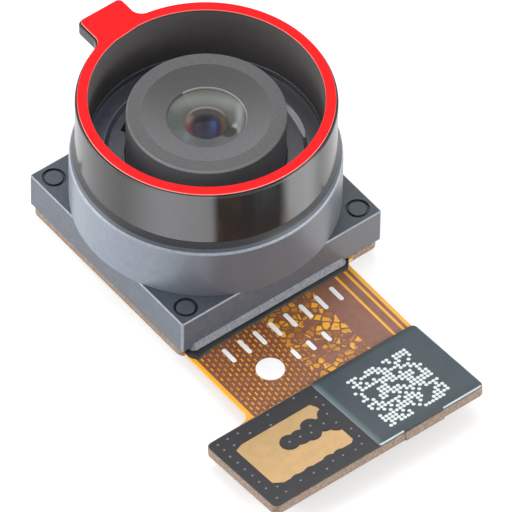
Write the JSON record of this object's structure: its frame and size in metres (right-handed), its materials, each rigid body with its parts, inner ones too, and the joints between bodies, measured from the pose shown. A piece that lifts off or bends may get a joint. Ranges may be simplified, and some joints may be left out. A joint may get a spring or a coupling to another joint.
{
  "type": "phone camera module",
  "caption": "Fixed-focus camera module: square lens holder with a seal ring, short flexible circuit and an end board with a connector underneath.",
  "frame": {"origin": "on the lens axis, at the underside of the base stiffener, which is the face the module is set on in a phone", "axes": "+Z along the lens axis and out of the lens; -Y along the flexible circuit towards the end board; +X along the long side of the end board"},
  "size_m": [0.0109, 0.0174, 0.0073],
  "materials": {
    "holder_plastic": "black glass-filled liquid-crystal polymer, satin moulded face",
    "barrel_plastic": "matt black moulded polycarbonate",
    "seal_rubber": "glossy black silicone rubber",
    "liner_film": "red polyester release film",
    "adhesive": "black double-sided adhesive",
    "lens_plastic": "clear coated optical polymer",
    "black_film": "black polyester shim",
    "filter_glass": "blue-green infrared filter glass",
    "silicon": "polished silicon die",
    "gold": "gold plate over nickel and copper",
    "gold_wire": "gold bond wire",
    "capacitor_ceramic": "barium titanate chip capacitor",
    "chip_epoxy": "black moulded epoxy",
    "board_laminate": "glass-epoxy laminate with a dark solder mask",
    "polyimide": "amber polyimide coverlay over copper",
    "steel": "thin rolled stainless steel",
    "glue": "cured black epoxy",
    "label_film": "dark teal-grey printed film",
    "ink": "white screen-printed ink",
    "connector_plastic": "black liquid-crystal polymer"
  },
  "bodies": {
    "root": {"base_stiffener": "steel", "sensor_board": "board_laminate", "holder_glue": "glue", "lens_holder": "holder_plastic", "infrared_filter": "filter_glass", "sensor_chip": "silicon", "bond_wires": "gold_wire", "board_capacitors": "capacitor_ceramic", "memory_chip": "chip_epoxy", "lens_barrel": "barrel_plastic", "front_lens": "lens_plastic", "second_lens": "lens_plastic", "third_lens": "lens_plastic", "fourth_lens": "lens_plastic", "fifth_lens": "lens_plastic", "aperture_stop": "black_film", "second_spacer": "black_film", "third_spacer": "black_film", "fourth_spacer": "black_film", "lens_retainer": "barrel_plastic", "barrel_glue": "glue", "seal_ring": "seal_rubber", "ring_adhesive": "adhesive", "release_liner": "liner_film", "flex_circuit": "polyimide", "flex_root_sealant": "glue", "printed_marks": "ink", "connector_board": "board_laminate", "ground_pad": "gold", "code_label": "label_film", "connector_housing": "connector_plastic", "connector_contacts": "gold", "connector_hold_downs": "gold"}
  },
  "joints": []
}
